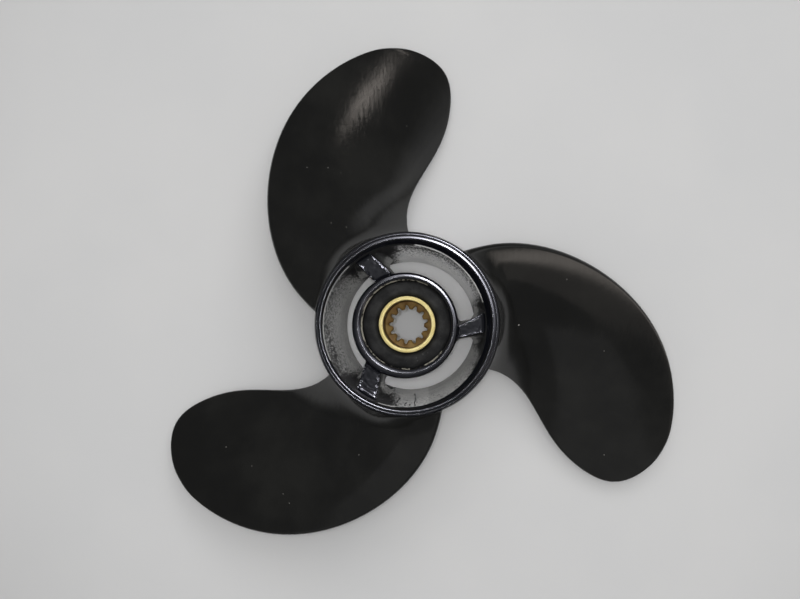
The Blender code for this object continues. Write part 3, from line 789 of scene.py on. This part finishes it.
class Nodes:
    """A material's node tree, with short calls for the nodes used here."""

    def __init__(self, name):
        self.material = bpy.data.materials.new(name)
        self.material.use_nodes = True
        self.tree = self.material.node_tree
        self.shader = self.tree.nodes["Principled BSDF"]
        self.place = self.tree.nodes.new("ShaderNodeTexCoord").outputs["Object"]

    def feed(self, socket, value):
        """Links another node's socket to this one, or sets a constant."""
        if isinstance(value, bpy.types.NodeSocket):
            self.tree.links.new(value, socket)
        else:
            socket.default_value = value

    def fill(self, node, **values):
        """Feeds a node's named sockets, with _ for a space in a name."""
        for name, value in values.items():
            self.feed(node.inputs[name.replace("_", " ")], value)

    def add(self, kind, *values, **settings):
        """A new node with settings, and values for its first sockets."""
        node = self.tree.nodes.new(kind)
        for key, value in settings.items():
            setattr(node, key, value)
        for socket, value in zip(node.inputs, values):
            self.feed(socket, value)
        return node

    def noise(self, scale, detail=3.0, roughness=0.55, stretch=None, turn=(0.0, 0.0, 0.0)):
        """Noise over the piece, finer or coarser along an axis where it is stretched."""
        place = self.place
        if stretch:
            mapping = self.add("ShaderNodeMapping")
            turn = [radians(angle) for angle in turn]
            self.fill(mapping, Vector=place, Rotation=turn, Scale=stretch)
            place = mapping.outputs["Vector"]
        node = self.add("ShaderNodeTexNoise")
        self.fill(node, Vector=place, Scale=scale, Detail=detail, Roughness=roughness)
        return node.outputs["Fac"]

    def rings(self, scale):
        """Noise that varies only with the distance from the axis, as a lathe's marks do."""
        flat = self.add("ShaderNodeVectorMath", self.place, (1.0, 1.0, 0.0), operation="MULTIPLY")
        node = self.add("ShaderNodeTexNoise", noise_dimensions="1D")
        self.fill(node, W=self.length(flat.outputs["Vector"]), Scale=scale, Detail=2.0)
        return node.outputs["Fac"]

    def length(self, place):
        """How far a place is from the origin."""
        return self.add("ShaderNodeVectorMath", place, operation="LENGTH").outputs["Value"]

    def spread(self, value, low=0.3, high=0.7, start=0.0, end=1.0):
        """An even ease from start to end while the value goes from low to high."""
        node = self.add("ShaderNodeMapRange", value, low, high, start, end, interpolation_type="SMOOTHSTEP")
        return node.outputs["Result"]

    def times(self, first, second):
        return self.add("ShaderNodeMath", first, second, operation="MULTIPLY").outputs[0]

    def plus(self, first, second):
        return self.add("ShaderNodeMath", first, second, operation="ADD").outputs[0]

    def mix(self, share, first, second):
        """From the first colour at a share of 0 to the second at 1."""
        node = self.add("ShaderNodeMix", share, data_type="RGBA")
        self.feed(node.inputs[6], first)
        self.feed(node.inputs[7], second)
        return node.outputs[2]

    def value(self, name):
        """A number that add_value put on the mesh."""
        return self.add("ShaderNodeAttribute", attribute_name=name).outputs["Fac"]

    def bump(self, height, distance, strength=1.0, before=None):
        """A bumped normal, on top of another one if given."""
        node = self.add("ShaderNodeBump")
        self.fill(node, Strength=strength, Distance=distance, Height=height)
        if before is not None:
            self.feed(node.inputs["Normal"], before)
        return node.outputs["Normal"]

    def finish(self, color, roughness, normal, **others):
        """The finished material, with any other sockets of its shader."""
        self.fill(self.shader, Base_Color=color, Roughness=roughness, Normal=normal, **others)
        return self.material


def grey(level, tint=(1.0, 1.0, 1.0)):
    """A neutral colour of this level, tinted."""
    return tuple(level * part for part in tint) + (1.0,)


def satin_paint():
    """Satin black: fine orange peel, rubbing strokes, hairline scratches, a little dust and painted
    highlights along the edges.
    """
    look = Nodes("satin_black_paint")
    cloud = look.noise(38.0, 4.0)
    grain = look.noise(1100.0, 2.0)
    peel = look.noise(330.0, 2.0)
    strokes = look.noise(800.0, 3.0, 0.6, stretch=(1.0, 0.16, 0.5), turn=(0, 0, 15))
    scratch = look.noise(900.0, 2.0, stretch=(1.0, 0.035, 1.0), turn=(0, 0, 62))
    lines = look.spread(scratch, 0.7, 0.78)
    rough = look.plus(look.spread(cloud, 0.3, 0.7, 0.105, 0.145), look.times(lines, 0.08))
    rough = look.plus(rough, look.spread(strokes, 0.35, 0.65, -0.015, 0.02))
    dusty = look.spread(look.noise(24.0, 6.0, 0.62), 0.38, 0.74)
    color = look.mix(dusty, grey(0.0052, (1.0, 1.0, 0.92)), grey(0.013, (1.01, 1.0, 0.9)))
    # Painted highlight: lighter grey in patches along the blades' edges.
    edge = look.times(look.value("wear_and_painted_light"), look.spread(look.noise(260.0), 0.52, 0.66))
    color = look.mix(look.times(edge, 0.25), color, grey(0.045))
    normal = look.bump(look.plus(look.times(grain, 0.3), peel), 0.00002, 0.5)
    normal = look.bump(strokes, 0.00004, 0.7, before=normal)
    return look.finish(color, rough, normal)


def gloss_paint():
    """Thick gloss black paint on the lip, the hub ring and the ribs, chipped to pale metal where marked."""
    look = Nodes("gloss_black_paint")
    cloud = look.noise(140.0)
    peel = look.noise(420.0, 2.0)
    grain = look.noise(1400.0, 2.0)
    chips = look.noise(900.0, 3.0, 0.6)
    patch = look.spread(look.noise(500.0), 0.34, 0.58, 0.35, 1.0)
    worn = look.times(look.value("wear_and_painted_light"), patch)
    wear_and_painted_light = look.spread(look.plus(worn, look.times(chips, 0.9)), 0.74, 1.1)
    color = look.mix(wear_and_painted_light, grey(0.005, (0.8, 0.9, 1.3)), grey(0.34, (1.0, 0.95, 0.78)))
    rough = look.spread(cloud, 0.3, 0.7, 0.16, 0.24)
    rough = look.plus(rough, look.times(wear_and_painted_light, 0.25))
    height = look.plus(look.times(grain, 0.3), peel)
    normal = look.bump(look.noise(150.0, 2.0), 0.00012, 0.5)
    normal = look.bump(height, 0.000035, 0.6, before=normal)
    return look.finish(color, rough, normal, Specular_Tint=(0.96, 0.97, 1.04, 1.0))


def wall_paint():
    """The passage's wall: dull bare casting under dust, with black overspray that thins with depth. Painted
    light: the wall is paler on its upper-right side, and partly paler deep down.
    """
    look = Nodes("passage_wall")
    cloud = look.noise(90.0, 5.0, 0.6)
    grit = look.noise(900.0, 3.0, 0.65)
    streak = look.noise(1150.0, stretch=(1.0, 1.0, 0.2))
    spots = look.noise(2100.0, 2.0, 0.5, stretch=(1.0, 1.0, 0.35))
    dull = look.mix(look.spread(cloud), grey(0.2, (1.0, 1.0, 0.97)), grey(0.31, (1.0, 0.99, 0.95)))
    # Painted light: the paler colour for the wall where it is painted as if better lit.
    painted_lit_wall = look.mix(look.spread(cloud), grey(0.58), grey(0.78, (1.0, 0.99, 0.97)))
    wear_and_painted_light = look.mix(look.value("wear_and_painted_light"), dull, painted_lit_wall)
    wear_and_painted_light = look.mix(look.spread(grit, 0.35, 0.75, 0.0, 0.2), wear_and_painted_light, grey(0.8))
    overspray_and_painted_light = look.plus(look.value("overspray_and_painted_light"), look.times(streak, 1.3))
    overspray_and_painted_light = look.plus(overspray_and_painted_light, look.times(spots, 0.9))
    overspray_and_painted_light = look.plus(overspray_and_painted_light, look.spread(cloud, 0.3, 0.7, -0.08, 0.08))
    black = look.spread(overspray_and_painted_light, 1.41, 1.79)
    color = look.mix(black, wear_and_painted_light, grey(0.008))
    rough = look.mix(black, grey(0.62), grey(0.5))
    normal = look.bump(look.plus(grit, cloud), 0.00012, 0.7)
    return look.finish(color, rough, normal, Diffuse_Roughness=1.0)


def rubber_finish():
    """Dull moulded rubber with a fine matt grain, dust and a few pale specks."""
    look = Nodes("moulded_rubber")
    grain = look.noise(1500.0, 3.0, 0.6)
    cloud = look.noise(160.0, 4.0)
    speck = look.spread(look.noise(1000.0, 1.0), 0.76, 0.82)
    color = look.mix(look.spread(cloud, 0.35, 0.7), grey(0.012, (0.99, 1.0, 1.03)), grey(0.03))
    color = look.mix(look.times(speck, 0.7), color, grey(0.16))
    rough = look.spread(grain, 0.3, 0.7, 0.62, 0.8)
    normal = look.bump(look.plus(grain, look.times(cloud, 1.5)), 0.00006, 0.8)
    return look.finish(color, rough, normal, Specular_IOR_Level=0.3)


def brass_face():
    """The sleeve's front ring: fine turning marks, a little tarnish and a few nicks."""
    look = Nodes("bright_brass")
    cloud = look.noise(260.0, 4.0, 0.6)
    marks = look.rings(2600.0)
    nicks = look.spread(look.noise(520.0, 2.0), 0.69, 0.74)
    tone = look.spread(cloud, 0.35, 0.7)
    color = look.mix(tone, grey(0.8, (1.0, 0.86, 0.42)), grey(0.68, (1.0, 0.83, 0.34)))
    color = look.mix(look.spread(marks, 0.35, 0.65, 0.0, 0.35), color, grey(0.54, (1.0, 0.8, 0.28)))
    color = look.mix(look.times(nicks, 0.6), color, grey(0.16, (1.0, 0.7, 0.3)))
    rough = look.spread(marks, 0.3, 0.7, 0.4, 0.55)
    normal = look.bump(look.plus(cloud, marks), 0.00004, 0.5)
    return look.finish(color, rough, normal, Metallic=0.55)


def brass_counterbore():
    """Dull brown brass in the counterbore and on its seat, stained in places."""
    look = Nodes("stained_brass")
    stain = look.noise(240.0, 4.0, 0.6)
    fine = look.noise(1100.0)
    tone = look.spread(stain, 0.35, 0.68)
    color = look.mix(tone, grey(0.31, (1.0, 0.65, 0.22)), grey(0.2, (1.0, 0.56, 0.2)))
    rough = look.spread(fine, 0.3, 0.7, 0.5, 0.66)
    normal = look.bump(fine, 0.00004, 0.5)
    return look.finish(color, rough, normal, Metallic=0.25)


def brass_splines():
    """Smooth worn brass inside the splines, which mirrors the floor below."""
    look = Nodes("worn_brass")
    fine = look.noise(700.0)
    tone = look.spread(fine, 0.35, 0.7)
    color = look.mix(tone, grey(0.92, (1.0, 0.97, 0.9)), grey(0.84, (1.0, 0.94, 0.82)))
    rough = look.spread(fine, 0.3, 0.7, 0.16, 0.28)
    return look.finish(color, rough, look.bump(fine, 0.00002, 0.3), Metallic=1.0)


def grit():
    """Pale dusty grit."""
    look = Nodes("grit")
    fine = look.noise(2600.0, 2.0)
    color = look.mix(look.spread(fine), grey(0.3, (1.05, 1.0, 0.92)), grey(0.46, (1.05, 1.0, 0.95)))
    rough = look.spread(fine, 0.3, 0.7, 0.55, 0.75)
    return look.finish(color, rough, look.bump(fine, 0.00004, 0.5))


def sheet_finish():
    """The plain pale floor: a faint mottle, painted light that makes it palest under the barrel, and darker
    far off.
    """
    look = Nodes("pale_floor")
    color = look.mix(look.spread(look.noise(9.0)), grey(0.74), grey(0.77, (1.0, 0.995, 0.99)))
    away = look.add("ShaderNodeVectorMath", look.place, (0.02, 0.04, 0.0), operation="DISTANCE")
    color = look.mix(look.spread(away.outputs["Value"], 0.2, 0.55), color, grey(0.24))
    # Painted light: the floor under the barrel, seen through the passages, is painted paler.
    color = look.mix(look.spread(look.length(look.place), 0.03, 0.036), grey(0.88), color)
    parts = look.add("ShaderNodeSeparateXYZ", look.place)
    color = look.mix(look.spread(parts.outputs["Y"], -0.23, -0.135), grey(0.16), color)
    normal = look.bump(look.noise(60.0), 0.0004, 0.15)
    return look.finish(color, 0.8, normal)


def floor():
    """A wide pale floor that the propeller stands on."""
    size = 2.5
    corners = [(-size, -size, 0.0), (size, -size, 0.0), (size, size, 0.0), (-size, size, 0.0)]
    plane = show("floor", corners, [(0, 1, 2, 3)], [sheet_finish()])


def toward(tilt, azimuth):
    """The direction at a tilt from straight up and an azimuth."""
    tilt, azimuth = radians(tilt), radians(azimuth)
    return Vector((sin(tilt) * cos(azimuth), sin(tilt) * sin(azimuth), cos(tilt)))


def aim(thing, right, up, back, place):
    """Puts an object in the scene at a place, with its own axes in these directions."""
    thing.matrix_world = Matrix.Translation(place) @ Matrix((right, up, back)).transposed().to_4x4()
    scene.collection.objects.link(thing)


def softbox(name, tilt, azimuth, distance, width, height, radiance, along=None, tint=(1.0, 1.0, 1.0)):
    """An area light that faces the propeller from a direction, with its width along another one."""
    lamp = bpy.data.lights.new(name, "AREA")
    lamp.shape = "RECTANGLE"
    lamp.size = width
    lamp.size_y = height
    lamp.energy = radiance * 4.0 * width * height
    lamp.color = tint
    thing = bpy.data.objects.new(name, lamp)
    out = toward(tilt, azimuth)
    side = along or Vector((0.0, 0.0, 1.0)).cross(out)
    if side.length < 0.001:
        side = Vector((1.0, 0.0, 0.0))
    side = (side - out * side.dot(out)).normalized()
    aim(thing, side, out.cross(side), out, Vector((0.0, 0.0, 0.06)) + out * distance)
    return thing


def glint(light, pieces=None):
    """Keeps a light to mirror-like highlights, and to these pieces if they are given."""
    light.visible_diffuse = False
    if pieces is None:
        return
    lit = bpy.data.collections.new(light.name + "_pieces")
    for piece in pieces:
        lit.objects.link(piece)
    light.light_linking.receiver_collection = lit


def lights(glossy, blades):
    """A flash by the camera, soft light from above, and bright shapes for the paint to mirror."""
    cool = (0.95, 0.94, 1.0)
    warm = (1.0, 0.91, 0.83)
    streak = toward(59.0, 55.0) - toward(50.0, 39.0)
    door = toward(76.0, -25.0) - toward(53.0, -41.5)
    softbox("flash", 1.15, -4.0, 0.67, 0.028, 0.022, 470.0).visible_glossy = False
    softbox("overhead", 2.0, 40.0, 1.5, 0.5, 0.5, 5.6).visible_glossy = False
    softbox("ceiling", 0.0, 0.0, 2.0, 1.7, 1.7, 0.26)
    softbox("key_light", 28.0, 72.0, 1.1, 0.6, 0.6, 1.75)
    glint(softbox("flash_glint", 0.9, 22.0, 0.67, 0.04, 0.024, 110.0))
    glint(softbox("lamp_glint", 26.0, 61.0, 1.5, 0.42, 0.46, 62.0, tint=cool), glossy)
    glint(softbox("lamp_wings", 26.0, 56.0, 1.5, 1.2, 0.36, 6.0, tint=cool), glossy)
    glint(softbox("lamp_ends", 29.0, 58.0, 1.55, 2.3, 0.34, 3.2, tint=cool), glossy)
    glint(softbox("tube", 54.4, 49.2, 1.6, 0.2, 0.032, 7.0, streak, warm), blades)
    glint(softbox("tube_ends", 55.2, 50.6, 1.6, 0.32, 0.036, 2.2, streak, warm), blades)
    for share, radiance in ((0.55, 0.12), (0.8, 0.11), (1.05, 0.1), (1.3, 0.08)):
        near = 0.8 + 0.05 * share
        glint(softbox("window", 76.0, 9.0, near, 0.44 * share, 0.55 * share, radiance))
        glint(softbox("floor_glow", 89.0, 36.0, near, 0.52 * share, 0.14, 0.8 * radiance))
        wide, high = 0.96 * share, 0.31 * share
        glint(softbox("doorway", 60.6, -24.6, 2.0 * near, wide, high, 3.5 * radiance, door, warm))
    glint(softbox("doorway_glow", 64.0, -38.0, 1.8, 0.95, 0.6, 0.15, door, warm))
    glint(softbox("far_wall", 60.0, -112.0, 1.6, 3.0, 0.8, 0.11))
    world = bpy.data.worlds.new("room")
    world.use_nodes = True
    background = world.node_tree.nodes["Background"]
    background.inputs["Color"].default_value = (1.0, 1.0, 1.0, 1.0)
    background.inputs["Strength"].default_value = 0.15
    scene.world = world


def camera():
    """The camera, almost straight above the hub."""
    lens = bpy.data.cameras.new("camera")
    lens.lens = 67.43
    lens.sensor_width = 36.0
    lens.sensor_fit = "HORIZONTAL"
    lens.clip_start = 0.02
    lens.clip_end = 20.0
    eye = bpy.data.objects.new("camera", lens)
    ahead = Vector((-0.03047555, 0.02205346, -0.99929219)).normalized()
    right = Vector((0.99953182, -0.00204515, -0.03052799))
    right = (right - ahead * right.dot(ahead)).normalized()
    aim(eye, right, right.cross(ahead), -ahead, Vector((0.016471, -0.00348, LENGTH + 0.634075)))
    scene.camera = eye


def main():
    """Builds the dressed propeller and its surroundings."""
    satin = satin_paint()
    gloss = gloss_paint()
    wall = wall_paint()
    glossy = [barrel(gloss, wall), paint_runs(gloss), inner_hub(gloss)]
    glossy += [rib(index, gloss, wall) for index in range(BLADE_COUNT)]
    blades = [blade(index, satin) for index in range(BLADE_COUNT)]
    specks(blades, grit())
    rubber_bush(rubber_finish())
    sleeve(brass_face(), brass_counterbore(), brass_splines())
    floor()
    lights(glossy, blades)
    camera()
    scene.view_settings.view_transform = "Standard"


main()
